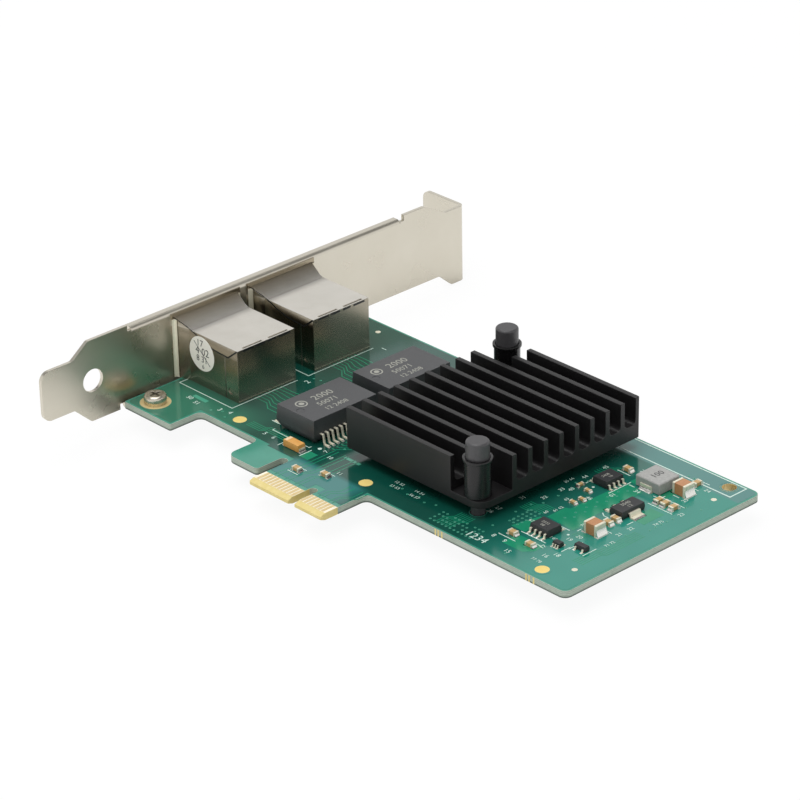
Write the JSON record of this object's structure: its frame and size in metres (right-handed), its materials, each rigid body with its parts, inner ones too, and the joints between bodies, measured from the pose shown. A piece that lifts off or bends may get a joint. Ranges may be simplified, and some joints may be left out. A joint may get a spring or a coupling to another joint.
{
  "type": "network interface card",
  "caption": "Flat circuit board with an edge connector, folded steel bracket, shielded plug sockets and a finned heatsink; it joins a computer to a wired network.",
  "frame": {"origin": "middle of the key notch, on the leading edge of the edge connector, at the component face", "axes": "+X along the card away from its bracket, +Y from the leading edge of the edge connector up to the top edge, +Z out of the component face"},
  "size_m": [0.1341, 0.1201, 0.0216],
  "materials": {
    "board_laminate": "semi-gloss green solder mask",
    "gold_plating": "gold plate over nickel",
    "bracket_steel": "nickel plated, satin",
    "screw_steel": "nickel plated",
    "shield_tin": "bright tin plate",
    "jack_plastic": "moulded, fine matt",
    "contact_gold": "gold plate",
    "sticker_paper": "matt paper",
    "module_resin": "moulded resin, fine matt",
    "lead_tin": "tin plate",
    "solder": "bright solder",
    "carrier_laminate": "laminate",
    "mould_resin": "moulded resin",
    "pad_silicone": "soft silicone",
    "heatsink_black": "black anodised",
    "pin_nylon": "moulded nylon",
    "spring_steel": "bright wire",
    "chip_resin": "moulded resin",
    "ferrite": "matt ferrite",
    "amber_resin": "moulded resin",
    "chip_ceramic": "fired ceramic",
    "film_resistor": "glazed film"
  },
  "bodies": {
    "root": {"printed_circuit_board": "board_laminate", "edge_contacts": "gold_plating", "screw_ring_pads": "gold_plating", "alignment_pads": "gold_plating", "plated_hole_lining": "gold_plating", "io_bracket": "bracket_steel", "bracket_screws": "screw_steel", "jack_shield_1": "shield_tin", "jack_shield_2": "shield_tin", "jack_housing_1": "jack_plastic", "jack_housing_2": "jack_plastic", "jack_contacts_1": "contact_gold", "jack_contacts_2": "contact_gold", "inspection_sticker": "sticker_paper", "magnetics_body_1": "module_resin", "magnetics_body_2": "module_resin", "magnetics_leads_1": "lead_tin", "magnetics_leads_2": "lead_tin", "controller_solder_balls": "solder", "controller_substrate": "carrier_laminate", "controller_mould": "mould_resin", "thermal_pad": "pad_silicone", "heatsink": "heatsink_black", "push_pins": "pin_nylon", "pin_sleeves": "pin_nylon", "pin_springs": "spring_steel", "memory_body_1": "chip_resin", "memory_body_2": "chip_resin", "memory_leads_1": "lead_tin", "memory_leads_2": "lead_tin", "regulator_body": "chip_resin", "regulator_leads": "lead_tin", "logic_body": "chip_resin", "logic_leads": "lead_tin", "transistor_body": "chip_resin", "transistor_leads": "lead_tin", "inductor_core": "ferrite", "inductor_terminals": "lead_tin", "moulded_capacitor_body": "amber_resin", "moulded_capacitor_terminals": "lead_tin", "large_capacitor_bodies": "chip_ceramic", "large_capacitor_ends": "lead_tin", "small_capacitor_bodies": "chip_ceramic", "small_capacitor_ends": "lead_tin", "chip_resistor_bodies": "film_resistor", "chip_resistor_ends": "lead_tin"}
  },
  "joints": []
}
